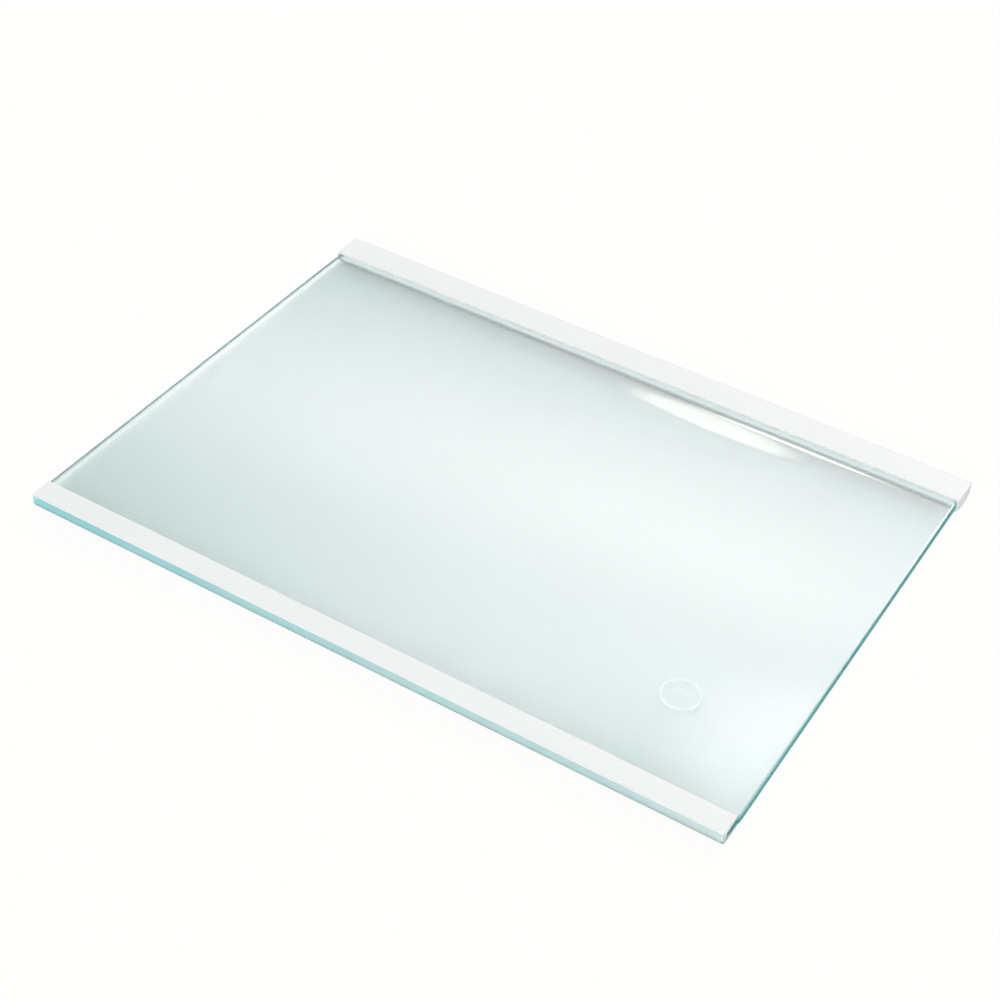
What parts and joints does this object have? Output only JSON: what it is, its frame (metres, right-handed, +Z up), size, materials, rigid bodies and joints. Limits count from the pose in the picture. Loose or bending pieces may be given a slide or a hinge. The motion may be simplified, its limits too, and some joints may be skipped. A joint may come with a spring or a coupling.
{
  "type": "fridge glass shelf",
  "caption": "Flat toughened glass refrigerator shelf with a white hollow trim along its rear edge and a clear trim with a white strip on top along its front edge.",
  "frame": {"origin": "under the middle of the shelf, at the height of the rear trim's foot", "axes": "+X along the width to the right, +Y from the front trim to the rear trim, +Z up out of the glass"},
  "size_m": [0.4756, 0.3464, 0.013],
  "materials": {
    "glass": "clear, faint green tint, half-round ground edges",
    "white_plastic": "satin white",
    "clear_tinted_plastic": "clear, teal tint, polished"
  },
  "bodies": {
    "root": {"glass_panel": "glass", "rear_trim": "white_plastic", "rear_end_cap_left": "white_plastic", "rear_end_cap_right": "white_plastic", "front_trim": "clear_tinted_plastic", "front_cover_strip": "white_plastic"}
  },
  "joints": []
}
